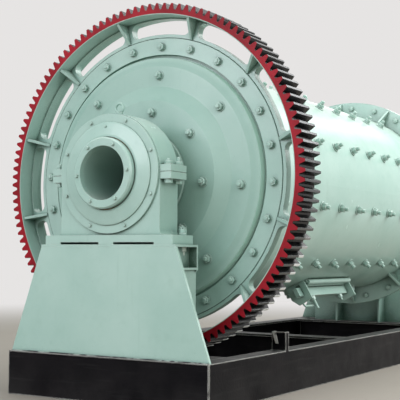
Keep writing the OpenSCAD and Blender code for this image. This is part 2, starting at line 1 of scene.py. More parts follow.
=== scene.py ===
"""Looks of a ball mill: paint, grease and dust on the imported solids, plus its bolts, nuts,
weld beads and clamp screws. Metres, Z up, the drum axis along Y, the ring gear at -Y."""

import json
import math
import random

import bmesh
import bpy
from mathutils import Matrix, Vector


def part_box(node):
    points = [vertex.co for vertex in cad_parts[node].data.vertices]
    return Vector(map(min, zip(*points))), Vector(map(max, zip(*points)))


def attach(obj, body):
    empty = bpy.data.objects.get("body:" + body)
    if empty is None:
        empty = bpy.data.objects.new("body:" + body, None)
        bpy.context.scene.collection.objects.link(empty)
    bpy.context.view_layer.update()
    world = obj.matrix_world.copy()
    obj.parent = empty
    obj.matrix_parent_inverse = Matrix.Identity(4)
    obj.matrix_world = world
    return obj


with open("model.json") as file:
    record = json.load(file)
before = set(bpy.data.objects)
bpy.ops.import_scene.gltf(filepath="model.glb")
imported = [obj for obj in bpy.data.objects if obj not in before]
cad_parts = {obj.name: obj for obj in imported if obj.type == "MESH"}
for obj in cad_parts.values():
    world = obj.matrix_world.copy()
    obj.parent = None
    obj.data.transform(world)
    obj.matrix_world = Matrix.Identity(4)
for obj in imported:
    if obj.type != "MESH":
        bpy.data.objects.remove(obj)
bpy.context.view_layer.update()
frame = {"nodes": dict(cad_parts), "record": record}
random.seed(7)

# Places taken from the solids
SHELL_LOW, SHELL_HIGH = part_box("shell")
WEB_LOW, WEB_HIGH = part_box("gear_web")
RIM_LOW, RIM_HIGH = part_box("gear_rim")
PLATE_LOW, PLATE_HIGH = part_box("front_pedestal_plate")
PEDESTAL_LOW, PEDESTAL_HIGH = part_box("front_pedestal")
MANHOLE_BEAM_LOW, MANHOLE_BEAM_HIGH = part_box("manhole_beam")
BASE_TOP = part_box("front_beam")[1].z
RING_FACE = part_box("front_trunnion_ring")[0].y
COVER_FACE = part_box("front_end_cover")[0].y
EAR_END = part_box("front_bearing_cap")[1].x
AXIS_Z = (SHELL_LOW.z + SHELL_HIGH.z) / 2
SHELL_R = (SHELL_HIGH.x - SHELL_LOW.x) / 2
RIM_INNER_R = (WEB_HIGH.x - WEB_LOW.x) / 2
TIP_R = (RIM_HIGH.x - RIM_LOW.x) / 2
WEB_BACK = WEB_HIGH.y
GEAR_BACK = RIM_HIGH.y
PLATE_BOTTOM = PLATE_LOW.z
MANHOLE_Y = (MANHOLE_BEAM_LOW.y + MANHOLE_BEAM_HIGH.y) / 2

# Sizes inside the solids, which no box shows
FLANGE_THICKNESS = 0.036
HEAD_FLANGE_REACH = 0.064
BAND_REACH = 0.050
INNER_BAND_REACH = 0.096
SHOULDER_OUTSET = 0.013
FOOT_THICKNESS = 0.055
EAR_HALF_HEIGHT = 0.042
JOURNAL_R = 0.2
FLANGE_BACK = WEB_BACK + FLANGE_THICKNESS
REAR_FLANGE_FRONT = SHELL_HIGH.y - FLANGE_THICKNESS
HEAD_FACE = WEB_BACK - HEAD_FLANGE_REACH
BAND_FACE = HEAD_FACE - BAND_REACH
INNER_BAND_FACE = HEAD_FACE - INNER_BAND_REACH
SHOULDER_R = SHELL_R + SHOULDER_OUTSET
FOOT_TOP = PLATE_HIGH.z + FOOT_THICKNESS


# Shader graphs
class Paint:
    """One node material and the few node helpers that the finishes share."""

    def __init__(self, name):
        self.material = bpy.data.materials.new(name)
        self.material.use_nodes = True
        self.tree = self.material.node_tree
        self.shader = self.tree.nodes["Principled BSDF"]
        self.place = self.add("ShaderNodeTexCoord").outputs["Object"]
        self.geometry = self.add("ShaderNodeNewGeometry")

    def add(self, kind, inputs=None, **settings):
        node = self.tree.nodes.new(kind)
        for key, value in settings.items():
            setattr(node, key, value)
        for key, value in (inputs or {}).items():
            self.put(value, node.inputs[key])
        return node

    def put(self, value, socket):
        if isinstance(value, bpy.types.NodeSocket):
            self.tree.links.new(value, socket)
        else:
            socket.default_value = value

    def surface(self, **inputs):
        for key, value in inputs.items():
            self.put(value, self.shader.inputs[key.replace("_", " ")])

    def math(self, operation, a, b=0.0):
        node = self.add("ShaderNodeMath", {0: a, 1: b}, operation=operation)
        return node.outputs[0]

    def ramp(self, value, low, high):
        """0 at low, 1 at high, smooth between them."""
        inputs = {"Value": value, "From Min": low, "From Max": high}
        node = self.add("ShaderNodeMapRange", inputs, interpolation_type="SMOOTHSTEP")
        return node.outputs["Result"]

    def mix(self, amount, a, b):
        inputs = {"Factor": amount, 6: a, 7: b}
        return self.add("ShaderNodeMix", inputs, data_type="RGBA").outputs[2]

    def noise(self, scale, detail=3.0, stretch=(1, 1, 1), roughness=0.55):
        place = self.add("ShaderNodeMapping", {"Vector": self.place, "Scale": stretch})
        inputs = {"Vector": place.outputs[0], "Scale": scale, "Detail": detail,
                  "Roughness": roughness}
        return self.add("ShaderNodeTexNoise", inputs).outputs["Fac"]

    def normal_part(self, axis):
        split = self.add("ShaderNodeSeparateXYZ", {0: self.geometry.outputs["Normal"]})
        return split.outputs[axis]

    def axis_radius(self):
        """Distance from the drum axis."""
        moved = self.add("ShaderNodeVectorMath", {0: self.place, 1: (0, 0, -AXIS_Z)})
        flat = self.add("ShaderNodeVectorMath", {0: moved.outputs[0], 1: (1, 0, 1)},
                        operation="MULTIPLY")
        length = self.add("ShaderNodeVectorMath", {0: flat.outputs[0]}, operation="LENGTH")
        return length.outputs["Value"]

    def soft_edge(self, radius):
        return self.add("ShaderNodeBevel", {"Radius": radius}, samples=4).outputs[0]

    def edge_mask(self, radius, low=0.02, high=0.18):
        """1 on the sharp edges of a solid."""
        inputs = {0: self.soft_edge(radius), 1: self.geometry.outputs["Normal"]}
        dot = self.add("ShaderNodeVectorMath", inputs, operation="DOT_PRODUCT")
        return self.ramp(self.math("SUBTRACT", 1.0, dot.outputs["Value"]), low, high)

    def crevice(self, distance, open_share=0.85, closed_share=0.25):
        """1 deep in a corner, 0 on open faces."""
        node = self.add("ShaderNodeAmbientOcclusion", {"Distance": distance}, samples=4)
        return self.ramp(node.outputs["AO"], open_share, closed_share)

    def bump(self, height, strength, distance, edge_radius):
        inputs = {"Height": height, "Strength": strength, "Distance": distance,
                  "Normal": self.soft_edge(edge_radius)}
        return self.add("ShaderNodeBump", inputs).outputs[0]


def colour(red, green, blue):
    """Linear colour from display values of 0 to 255."""
    parts = []
    for value in (red, green, blue):
        share = value / 255
        low = share / 12.92
        parts.append(low if share <= 0.04045 else ((share + 0.055) / 1.055) ** 2.4)
    return (*parts, 1.0)


MINT = colour(160, 192, 182)
MINT_PALE = colour(178, 205, 196)
MINT_DEEP = colour(136, 171, 159)
# Dark mint of specks, and of the painted shade in corners and in bores
MINT_DIRT_AND_SHADE = colour(66, 92, 80)
MINT_SHADE = colour(44, 76, 60)
# Pale mint of paint wear on edges, also a painted highlight on them
MINT_WEAR_AND_HIGHLIGHT = colour(222, 234, 226)
# Painted light on the shoulder wall of the heads
MINT_PAINTED_LIGHT = colour(202, 238, 224)
# Painted shade round the feet of the fasteners
BOLT_SHADE = colour(44, 62, 54)
DUST = colour(204, 206, 198)
RED = colour(160, 18, 36)
RED_DEEP = colour(132, 12, 26)
GREASE = colour(14, 15, 16)
# Painted glints on the grease
GREASE_GLINT = colour(54, 57, 57)
# Lands are the outer ends of the teeth
LAND_STEEL = colour(106, 108, 109)
# Painted highlight on the rear ends of the lands
LAND_HIGHLIGHT = colour(240, 240, 238)
BLACK = colour(7, 7, 11)
BLACK_WARM = colour(20, 18, 21)
BLACK_DUSTY = colour(82, 80, 80)
# Pale scuff of the base paint and the lug strips, also a painted highlight on the base's edges
SCUFF_AND_HIGHLIGHT = colour(196, 194, 190)
STEEL = colour(150, 152, 150)
STEEL_DARK = colour(112, 114, 112)
ZINC_PALE = colour(198, 212, 202)
ZINC_DULL = colour(152, 168, 158)
WELD_PALE = colour(166, 178, 172)
BRONZE = colour(166, 128, 74)
BRONZE_DARK = colour(128, 96, 56)
FLOOR = colour(148, 140, 132)
FLOOR_WORN = colour(138, 130, 122)
BACKGROUND = colour(230, 228, 227)


def mint_colour(paint, shade_share=1.0, pocket_closed=0.2, pocket_share=0.6):
    """Mint paint with slow clouds, faint vertical runs, painted shade in corners and in pockets,
    dust on top and pale edges that are partly paint wear and partly a painted highlight."""
    clouds = paint.ramp(paint.noise(2.2, 5), 0.2, 0.8)
    base = paint.mix(clouds, MINT, MINT_PALE)
    patches = paint.ramp(paint.noise(9, 4), 0.52, 0.82)
    base = paint.mix(paint.math("MULTIPLY", patches, 0.25), base, MINT_DEEP)
    runs = paint.ramp(paint.noise(26, 2, stretch=(1, 1, 0.08)), 0.6, 0.8)
    base = paint.mix(paint.math("MULTIPLY", runs, 0.16), base, MINT_DEEP)
    up = paint.ramp(paint.normal_part("Z"), 0.45, 0.95)
    base = paint.mix(paint.math("MULTIPLY", up, 0.35), base, DUST)
    # Painted shade in corners and creases
    crevice_shade = paint.math("MULTIPLY", paint.crevice(0.025), 0.6)
    base = paint.mix(paint.math("MULTIPLY", crevice_shade, shade_share), base, MINT_DIRT_AND_SHADE)
    # Painted shade, deeper in pockets and hollows
    pocket = paint.math("MULTIPLY", paint.crevice(0.24, 0.75, pocket_closed), pocket_share)
    base = paint.mix(paint.math("MULTIPLY", pocket, shade_share), base, MINT_SHADE)
    specks = paint.ramp(paint.noise(130, 2), 0.7, 0.76)
    base = paint.mix(paint.math("MULTIPLY", specks, 0.3), base, MINT_DIRT_AND_SHADE)
    # Pale edges: partly paint wear, partly a painted highlight
    worn_and_lit = paint.math("MULTIPLY", paint.edge_mask(0.005), paint.ramp(paint.noise(14, 3), 0.35, 0.6))
    return paint.mix(paint.math("MULTIPLY", worn_and_lit, 0.55), base, MINT_WEAR_AND_HIGHLIGHT)


def mint_height(paint):
    """Brush marks and orange peel of the paint."""
    brush = paint.noise(40, 3, stretch=(1, 1, 0.25))
    peel = paint.noise(320, 2)
    waves = paint.noise(5, 3)
    fine = paint.math("ADD", paint.math("MULTIPLY", brush, 0.2), paint.math("MULTIPLY", peel, 0.1))
    return paint.math("ADD", fine, waves)


def finish_mint(paint, base):
    """Gives a mint colour its gloss and brush marks."""
    roughness = paint.ramp(paint.noise(7, 4), 0.1, 0.9)
    paint.surface(
        Base_Color=base,
        Roughness=paint.math("ADD", paint.math("MULTIPLY", roughness, 0.12), 0.17),
        Normal=paint.bump(mint_height(paint), 0.22, 0.004, 0.004),
    )
    return paint.material


def mint_paint(name, **pocket):
    """Plain mint paint; pocket says how deep its shade is in hollow places."""
    paint = Paint(name)
    return finish_mint(paint, mint_colour(paint, **pocket))


def head_paint():
    """Mint paint of the heads: a little deeper inside the shoulder; on its wall less painted shade
    and a painted light.
    """
    paint = Paint("head_paint")
    radius = paint.axis_radius()
    inner = paint.ramp(radius, SHOULDER_R - 0.01, SHOULDER_R - 0.04)
    outer = paint.ramp(radius, SHOULDER_R + 0.003, SHOULDER_R + 0.007)
    # 1 where the painted shade stays full, 0 on the shoulder's wall
    shade_kept = paint.math("ADD", inner, outer)
    base = mint_colour(paint, paint.math("ADD", paint.math("MULTIPLY", shade_kept, 0.9), 0.1))
    base = paint.mix(paint.math("MULTIPLY", inner, 0.35), base, MINT_DEEP)
    # Painted light on the shoulder's wall, which lies in shade
    wall = paint.ramp(paint.math("ABSOLUTE", paint.normal_part("Y")), 0.6, 0.3)
    wall = paint.math("MULTIPLY", wall, paint.math("SUBTRACT", 1.0, shade_kept))
    return finish_mint(paint, paint.mix(wall, base, MINT_PAINTED_LIGHT))


def gear_paint():
    """Rim of the ring gear: red faces, mint inside, black grease with painted glints between the
    teeth, steel lands with a painted highlight on their rear ends low down."""
    paint = Paint("gear_rim_finish")
    red = paint.mix(paint.ramp(paint.noise(6, 4), 0.3, 0.7), RED, RED_DEEP)
    radius = paint.axis_radius()
    smear = paint.math("ADD", paint.ramp(radius, TIP_R - 0.012, TIP_R + 0.010),
                       paint.math("SUBTRACT", paint.noise(34, 4), 0.62))
    red = paint.mix(paint.ramp(smear, 0.3, 0.62), red, GREASE)
    # Painted glints on the grease of the teeth
    glints = paint.ramp(paint.noise(70, 3, stretch=(1, 0.12, 1)), 0.55, 0.8)
    grease = paint.mix(paint.math("MULTIPLY", glints, 0.35), GREASE, GREASE_GLINT)
    front = paint.ramp(paint.math("ABSOLUTE", paint.normal_part("Y")), 0.6, 0.9)
    land = paint.ramp(radius, TIP_R - 0.003, TIP_R - 0.001)
    grease = paint.mix(paint.math("MULTIPLY", land, 0.85), grease, LAND_STEEL)
    split = paint.add("ShaderNodeSeparateXYZ", {0: paint.place})
    # Painted highlight on the rear ends of the lands low down, with less metal there
    rear_end = paint.math("ADD", paint.ramp(split.outputs["Y"], GEAR_BACK - 0.11, GEAR_BACK - 0.03),
                          paint.math("SUBTRACT", paint.noise(9, 3), 0.5))
    highlight_zone = paint.math("MULTIPLY", paint.ramp(rear_end, 0.42, 0.55),
                       paint.ramp(split.outputs["Z"], AXIS_Z - 0.3, AXIS_Z - 0.55))
    lit_land = paint.math("MULTIPLY", land, highlight_zone)
    grease = paint.mix(paint.math("MULTIPLY", lit_land, 0.9), grease, LAND_HIGHLIGHT)
    outside = paint.mix(front, grease, red)
    inside = paint.ramp(radius, RIM_INNER_R + 0.006, RIM_INNER_R + 0.002)
    mint = mint_colour(paint)
    greasy = paint.math("MULTIPLY", paint.math("SUBTRACT", 1.0, inside),
                        paint.math("SUBTRACT", 1.0, front))
    peel = paint.math("ADD", paint.noise(60, 4), paint.math("MULTIPLY", paint.noise(300, 2), 0.3))
    paint.surface(
        Base_Color=paint.mix(inside, outside, mint),
        Metallic=paint.math("MULTIPLY", paint.math("MULTIPLY", greasy, land),
                            paint.math("SUBTRACT", 0.85, highlight_zone)),
        Specular_IOR_Level=0.2,
        Roughness=paint.math("SUBTRACT", 0.45, paint.math("MULTIPLY", greasy, 0.22)),
        Normal=paint.bump(peel, 0.3, 0.003, 0.003),
    )
    return paint.material


def journal_finish():
    """Trunnion: mint paint with painted shade in the bore, and unpainted turned steel where it runs
    in its bush.
    """
    paint = Paint("trunnion_finish")
    radius = paint.axis_radius()
    near = paint.math("ABSOLUTE", paint.math("SUBTRACT", radius, JOURNAL_R))
    steel_part = paint.ramp(near, 0.006, 0.003)
    turning = paint.ramp(paint.noise(180, 2, stretch=(0.02, 1, 0.02)), 0.3, 0.7)
    steel = paint.mix(turning, STEEL, STEEL_DARK)
    bore_mouth, bore_wall = 0.172, 0.164
    # Painted shade inside the bore
    bore = paint.math("MULTIPLY", paint.ramp(radius, bore_mouth, bore_wall), 0.2)
    mint = paint.mix(bore, mint_colour(paint), MINT_DIRT_AND_SHADE)
    paint.surface(
        Base_Color=paint.mix(steel_part, mint, steel),
        Metallic=paint.math("MULTIPLY", steel_part, 0.9),
        Roughness=paint.math("SUBTRACT", 0.45, paint.math("MULTIPLY", steel_part, 0.15)),
        Normal=paint.bump(mint_height(paint), 0.2, 0.004, 0.004),
    )
    return paint.material


def black_paint():
    """Black base paint, dusty low down and on its upper faces, with pale edges that are partly
    scuffs and partly a painted highlight.
    """
    paint = Paint("base_black_paint")
    base = paint.mix(paint.ramp(paint.noise(5, 5), 0.3, 0.75), BLACK, BLACK_WARM)
    split = paint.add("ShaderNodeSeparateXYZ", {0: paint.place})
    low = paint.ramp(split.outputs["Z"], BASE_TOP, 0.0)
    splash = paint.math("MULTIPLY", low, paint.ramp(paint.noise(3, 5), 0.3, 0.7))
    base = paint.mix(paint.math("MULTIPLY", splash, 0.16), base, BLACK_DUSTY)
    up = paint.ramp(paint.normal_part("Z"), 0.6, 0.95)
    dust = paint.math("MULTIPLY", up, paint.ramp(paint.noise(11, 5), 0.1, 0.6))
    base = paint.mix(dust, base, BLACK_DUSTY)
    scrape = paint.ramp(paint.noise(34, 4, stretch=(0.08, 0.08, 1)), 0.52, 0.8)
    base = paint.mix(paint.math("MULTIPLY", scrape, 0.02), base, SCUFF_AND_HIGHLIGHT)
    # Pale edges: partly scuffs, partly a painted highlight
    edges = paint.edge_mask(0.013, 0.02, 0.12)
    worn_and_lit = paint.math("MULTIPLY", edges, paint.ramp(paint.noise(9, 4), 0.2, 0.5))
    base = paint.mix(paint.math("MULTIPLY", worn_and_lit, 0.9), base, SCUFF_AND_HIGHLIGHT)
    paint.surface(
        Base_Color=base,
        Specular_IOR_Level=0.09,
        Roughness=paint.math("ADD", paint.math("MULTIPLY", paint.noise(8, 4), 0.25), 0.3),
        Normal=paint.bump(paint.noise(60, 4), 0.25, 0.003, 0.004),
    )
    return paint.material


def bronze_finish():
    """Turned bronze of the bushes."""
    paint = Paint("bush_bronze_finish")
    turning = paint.ramp(paint.noise(160, 2, stretch=(0.03, 1, 0.03)), 0.3, 0.7)
    paint.surface(
        Base_Color=paint.mix(turning, BRONZE, BRONZE_DARK),
        Metallic=0.9,
        Roughness=0.35,
        Normal=paint.bump(paint.noise(200, 2), 0.1, 0.002, 0.002),
    )
    return paint.material


def zinc_finish():
    """Dull zinc of the unpainted screws."""
    paint = Paint("zinc_finish")
    patina = paint.ramp(paint.noise(90, 4), 0.35, 0.7)
    paint.surface(
        Base_Color=paint.mix(patina, ZINC_PALE, ZINC_DULL),
        Metallic=0.2,
        Roughness=paint.math("ADD", paint.math("MULTIPLY", patina, 0.2), 0.35),
        Normal=paint.bump(paint.noise(260, 3), 0.2, 0.001, 0.0015),
    )
    return paint.material


def bolt_paint():
    """Mint paint of the fasteners and lifting eyes: painted shade round their feet, and pale
    corners that are partly paint wear and partly a painted highlight.
    """
    paint = Paint("bolt_paint")
    base = paint.mix(0.2, mint_colour(paint), MINT_DEEP)
    # Painted shade round the feet of the nuts
    foot_shade = paint.math("MULTIPLY", paint.crevice(0.02), 0.7)
    base = paint.mix(foot_shade, base, BOLT_SHADE)
    # Pale corners: partly paint wear, partly a painted highlight
    worn_and_lit = paint.math("MULTIPLY", paint.edge_mask(0.003), 0.6)
    paint.surface(
        Base_Color=paint.mix(worn_and_lit, base, MINT_WEAR_AND_HIGHLIGHT),
        Roughness=0.24,
        Normal=paint.bump(mint_height(paint), 0.15, 0.002, 0.0015),
    )
    return paint.material


def weld_paint():
    """Weld beads at the feet of the pedestals, the two paints chipped over each other."""
    paint = Paint("weld_paint")
    chips = paint.ramp(paint.noise(16, 5), 0.4, 0.56)
    paint.surface(
        Base_Color=paint.mix(chips, WELD_PALE, BLACK),
        Roughness=0.5,
        Normal=paint.bump(paint.noise(150, 3), 0.4, 0.002, 0.001),
    )
    return paint.material


def scuffed_steel():
    """Scraped unpainted metal of the strips on the lugs."""
    paint = Paint("scuffed_steel")
    stains = paint.ramp(paint.noise(30, 4), 0.45, 0.7)
    paint.surface(
        Base_Color=paint.mix(stains, SCUFF_AND_HIGHLIGHT, BLACK_DUSTY),
        Metallic=0.3,
        Roughness=0.5,
        Normal=paint.bump(paint.noise(120, 3), 0.3, 0.002, 0.002),
    )
    return paint.material


MINT_PAINT = mint_paint("mint_paint")
HEAD_PAINT = head_paint()
# Deeper painted shade in the pockets of the pedestals
PEDESTAL_PAINT = mint_paint("pedestal_paint", pocket_closed=0.42, pocket_share=0.9)
BOLT_PAINT = bolt_paint()
FINISHES = {
    "mill_green": MINT_PAINT,
    "gear_red": gear_paint(),
    "base_black": black_paint(),
    "journal_steel": journal_finish(),
    "bush_bronze": bronze_finish(),
}
ZINC = zinc_finish()
OWN_PAINTS = {"_head": HEAD_PAINT, "_pedestal": PEDESTAL_PAINT, "_lifting_eye": BOLT_PAINT}


def finish_solids():
    """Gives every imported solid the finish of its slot, or the paint that goes with its name."""
    for part in frame["record"]["subparts"]:
        solid = frame["nodes"][part["node"]]
        finish = FINISHES[part["material_slot"]]
        for mark, own_paint in OWN_PAINTS.items():
            if mark in part["node"]:
                finish = own_paint
        solid.data.materials.clear()
        solid.data.materials.append(finish)


finish_solids()


# Fasteners
class Builder:
    """Collects many small shapes into one mesh."""

    def __init__(self):
        self.mesh = bmesh.new()

    def rings(self, matrix, profile, sides):
        """A turned or prismatic body from (radius, height) pairs, closed at both ends."""
        loops = []
        for radius, height in profile:
            loop = []
            for step in range(sides):
                angle = 2 * math.pi * step / sides
                point = Vector((radius * math.cos(angle), radius * math.sin(angle), height))
                loop.append(self.mesh.verts.new(matrix @ point))
            loops.append(loop)
        self.skin(loops)

    def nut(self, matrix, across, height, base=0.0):
        corner = across / math.sqrt(3)
        chamfer = across * 0.07
        profile = [(corner * 0.93, base), (corner, base + chamfer * 0.5),
                   (corner, base + height - chamfer), (corner * 0.88, base + height)]
        self.rings(matrix, profile, 6)

    def washer(self, matrix, radius, thickness):
        edge = thickness * 0.3
        profile = [(radius, 0.0), (radius, thickness - edge), (radius - edge, thickness)]
        self.rings(matrix, profile, 20)

    def seated_nut(self, matrix, washer_radius, washer_height, across, nut_height):
        """A nut on its washer."""
        self.washer(matrix, washer_radius, washer_height)
        self.nut(matrix, across, nut_height, washer_height)

    def stud(self, matrix, radius, low, high):
        profile = [(radius, low), (radius, high - radius * 0.3), (radius * 0.72, high)]
        self.rings(matrix, profile, 12)

    def crown(self, matrix, radius, low, high):
        """The six prongs of a castle nut."""
        prong = [(0.0052, low), (0.0052, high - 0.002), (0.004, high)]
        for k in range(6):
            angle = math.pi * k / 3
            shift = Matrix.Translation((radius * math.cos(angle), radius * math.sin(angle), 0))
            self.rings(matrix @ shift, prong, 6)

    def rod(self, points, radius, across, sides=10):
        """A round rod along a flat path; across is the normal of the path's plane."""
        loops = []
        for step, point in enumerate(points):
            ahead = points[min(step + 1, len(points) - 1)]
            behind = points[max(step - 1, 0)]
            beside = (ahead - behind).normalized().cross(across)
            loop = []
            for k in range(sides):
                angle = 2 * math.pi * k / sides
                offset = across * math.cos(angle) + beside * math.sin(angle)
                loop.append(self.mesh.verts.new(point + radius * offset))
            loops.append(loop)
        self.skin(loops)

    def skin(self, loops):
        """Faces between neighbouring loops, with the first and last loop closed."""
        for lower, upper in zip(loops, loops[1:]):
            for step in range(len(lower)):
                after = (step + 1) % len(lower)
                self.mesh.faces.new((lower[step], lower[after], upper[after], upper[step]))
        self.mesh.faces.new(list(reversed(loops[0])))
        self.mesh.faces.new(loops[-1])

    def plate(self, corners, depth):
        """A flat plate with the given front corners, depth thick."""
        front = [self.mesh.verts.new(corner) for corner in corners]
        back = [self.mesh.verts.new(corner + depth) for corner in corners]
        self.skin([front, back])

    def piece(self, name, body, finish):
        data = bpy.data.meshes.new(name)
        bmesh.ops.recalc_face_normals(self.mesh, faces=self.mesh.faces)
        self.mesh.to_mesh(data)
        self.mesh.free()
        data.shade_smooth()
        data.set_sharp_from_angle(angle=math.radians(32))
        data.materials.append(finish)
        obj = bpy.data.objects.new(name, data)
        bpy.context.scene.collection.objects.link(obj)
        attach(obj, body)


def facing(place, direction, turn=0.0):
    """Matrix that stands local +Z along direction at place."""
    look = Vector(direction).to_track_quat("Z", "Y").to_matrix().to_4x4()
    return Matrix.Translation(place) @ look @ Matrix.Rotation(turn, 4, "Z")


def on_axis_circle(radius, degrees, y):
    """Point round the drum axis; degrees run from +X up to +Z."""
    angle = math.radians(degrees)
    return Vector((radius * math.cos(angle), y, AXIS_Z + radius * math.sin(angle)))


def any_turn():
    """A random turn of a hexagon."""
    return random.uniform(0, math.pi / 3)


def bolt_circle(builder, radius, angles, y, side, across, nut_height, washer, stud_out):
    """Nuts with washers on a face at y; side is -1 towards the front, 1 towards the rear."""
    washer_t = across * 0.1
    for degrees in angles:
        place = facing(on_axis_circle(radius, degrees, y), (0, side, 0), any_turn())
        builder.seated_nut(place, washer / 2, washer_t, across, nut_height)
        builder.stud(place, across * 0.31, washer_t, washer_t + nut_height + stud_out)


# Bolt circles: width across flats, nut height, washer width, stud past the nut
FLANGE_BOLT = (0.044, 0.022, 0.056, 0.008)
LINER_BOLT = (0.046, 0.024, 0.066, 0.014)
FLANGE_NUT = (0.038, 0.017, 0.046, 0.005)
# Single nuts: washer radius, washer height, width across flats, nut height
SHELL_NUT = (0.034, 0.009, 0.046, 0.030)
RING_BOLT = (0.013, 0.002, 0.019, 0.011)
COVER_BOLT = (0.012, 0.002, 0.017, 0.010)
EAR_NUT = (0.027, 0.004, 0.042, 0.020)
EAR_LOW_NUT = (0.027, 0.004, 0.042, 0.022)
FOOT_NUT = (0.026, 0.013, 0.041, 0.024)
FOOT_LOW_NUT = (0.025, 0.005, 0.041, 0.022)
CLAMP_NUT = (0.021, 0.004, 0.034, 0.028)
# Studs: radius, low end, high end, from the face that the washer lies on
SHELL_STUD = (0.0145, 0.030, 0.066)
FOOT_STUD = (0.010, 0.013, 0.052)
FOOT_CROWN = (0.0145, 0.037, 0.048)
FOOT_LOW_STUD = (0.014, 0.005, 0.050)

# Where the fasteners of the drum sit; angles run from +X up to +Z
FLANGE_BOLT_R = 0.856
FLANGE_ANGLES = [12.1 + 15 * k for k in range(24)]
OUTER_LINER_R = 0.663
INNER_LINER_R = 0.418
LINER_ANGLES = [-5 + 45 * k for k in range(8)]
SHELL_ROWS = [21.7 + 360 / 11 * k for k in range(11)]
SHELL_BOLT_FIRST = -1.313
SHELL_BOLT_PITCH = 0.312
SHELL_BOLTS = 9
SHELL_BOLT_SINK = 0.002
RING_BOLT_R = 0.185
RING_ANGLES = [4 + 60 * k for k in range(6)]

# Where the fasteners of the bearings sit
COVER_BOLT_R = 0.336
COVER_ANGLES = [22.5 + 45 * k for k in range(8)]
PLUG_R, PLUG_ANGLE, PLUG_SINK = 0.283, 92, 0.012
PLUG_ACROSS, PLUG_HEIGHT = 0.014, 0.012
EAR_BOLT_INSET = 0.036
EAR_STUD_R, EAR_STUD_LOW = 0.012, 0.004
# Depth along the drum axis and stud height of the two joint bolts of an ear
EAR_BOLTS = ((2.060, 0.036), (1.955, 0.050))
FOOT_BOLT_X, FOOT_BOLT_DEPTH = 0.432, 1.947

# Manhole, its clamp screws and the grip rod
MANHOLE_ANGLE = 60
BEAM_FACE_R = SHELL_R + 0.104
BEAM_FOOT_R = SHELL_R + 0.034
CLAMP_ROUND = 0.064
CLAMP_SPREAD = 0.252
# Place along the drum and stud height of the two clamp screws
CLAMP_SCREWS = ((-CLAMP_SPREAD, 0.105), (CLAMP_SPREAD, 0.052))
CLAMP_STUD_R = 0.011
GRIP_ROUND = 0.088
GRIP_SPREAD = 0.4045
GRIP_R = 0.008
GRIP_LOW, GRIP_HIGH, GRIP_SEAT = 0.038, 0.066, 0.012
GRIP_BEND, GRIP_CUT = 0.016, 0.005

# Strips on the lugs and welds at the feet of the pedestals
LUG_FACE = -1.190
STRIP_CORNERS = ((0.637, 0.118), (0.662, 0.118), (0.680, 0.045), (0.661, 0.045))
STRIP_THICKNESS = 0.006
WELD_R = 0.0045
WELD_STEPS = 60
WELD_WAVE = 0.0015


def head_bolts(name, side):
    """Flange bolts and head liner bolts of one end; side is -1 at the front."""
    builder = Builder()
    mirror = -side
    circles = (
        (FLANGE_BOLT_R, FLANGE_ANGLES, HEAD_FACE, FLANGE_BOLT),
        (OUTER_LINER_R, LINER_ANGLES, BAND_FACE, LINER_BOLT),
        (INNER_LINER_R, LINER_ANGLES, INNER_BAND_FACE, LINER_BOLT),
    )
    for radius, angles, face, bolt in circles:
        bolt_circle(builder, radius, angles, mirror * face, side, *bolt)
    builder.piece(name, "drum", BOLT_PAINT)


def flange_nuts(name, y, side):
    """Nuts on the shell side of a flange."""
    builder = Builder()
    bolt_circle(builder, FLANGE_BOLT_R, FLANGE_ANGLES, y, side, *FLANGE_NUT)
    builder.piece(name, "drum", BOLT_PAINT)


def shell_bolts():
    """Rows of liner bolts round the shell, each with a cup washer, nut and long stud."""
    builder = Builder()
    for degrees in SHELL_ROWS:
        angle = math.radians(degrees)
        out = Vector((math.cos(angle), 0, math.sin(angle)))
        for step in range(SHELL_BOLTS):
            y = SHELL_BOLT_FIRST + SHELL_BOLT_PITCH * step
            foot = on_axis_circle(SHELL_R - SHELL_BOLT_SINK, degrees, y)
            place = facing(foot, out, any_turn())
            builder.seated_nut(place, *SHELL_NUT)
            builder.stud(place, *SHELL_STUD)
    builder.piece("shell_liner_bolts", "drum", BOLT_PAINT)


def end_bolts(name, side):
    """Small hexagon bolts of the trunnion end ring."""
    builder = Builder()
    for degrees in RING_ANGLES:
        foot = on_axis_circle(RING_BOLT_R, degrees, side * -RING_FACE)
        builder.seated_nut(facing(foot, (0, side, 0), any_turn()), *RING_BOLT)
    builder.piece(name, "drum", BOLT_PAINT)


def bearing_bolts(name, side):
    """Cover bolts, joint bolts, foot bolts and the grease plug of one bearing."""
    builder = Builder()
    for degrees in COVER_ANGLES:
        foot = on_axis_circle(COVER_BOLT_R, degrees, side * -COVER_FACE)
        builder.seated_nut(facing(foot, (0, side, 0), any_turn()), *COVER_BOLT)
    plug = on_axis_circle(PLUG_R, PLUG_ANGLE, side * -(COVER_FACE - PLUG_SINK))
    builder.nut(facing(plug, (0, side, 0)), PLUG_ACROSS, PLUG_HEIGHT)
    ear_x = EAR_END - EAR_BOLT_INSET
    for x in (-ear_x, ear_x):
        for depth, stud_height in EAR_BOLTS:
            turn = any_turn()
            top = facing(Vector((x, side * depth, AXIS_Z + EAR_HALF_HEIGHT)), (0, 0, 1), turn)
            builder.seated_nut(top, *EAR_NUT)
            builder.stud(top, EAR_STUD_R, EAR_STUD_LOW, stud_height)
            low = facing(Vector((x, side * depth, AXIS_Z - EAR_HALF_HEIGHT)), (0, 0, -1), turn)
            builder.seated_nut(low, *EAR_LOW_NUT)
        foot = Vector((math.copysign(FOOT_BOLT_X, x), side * FOOT_BOLT_DEPTH, FOOT_TOP))
        top = facing(foot, (0, 0, 1), any_turn())
        builder.seated_nut(top, *FOOT_NUT)
        builder.crown(top, *FOOT_CROWN)
        builder.stud(top, *FOOT_STUD)
    builder.piece(name, "base", BOLT_PAINT)


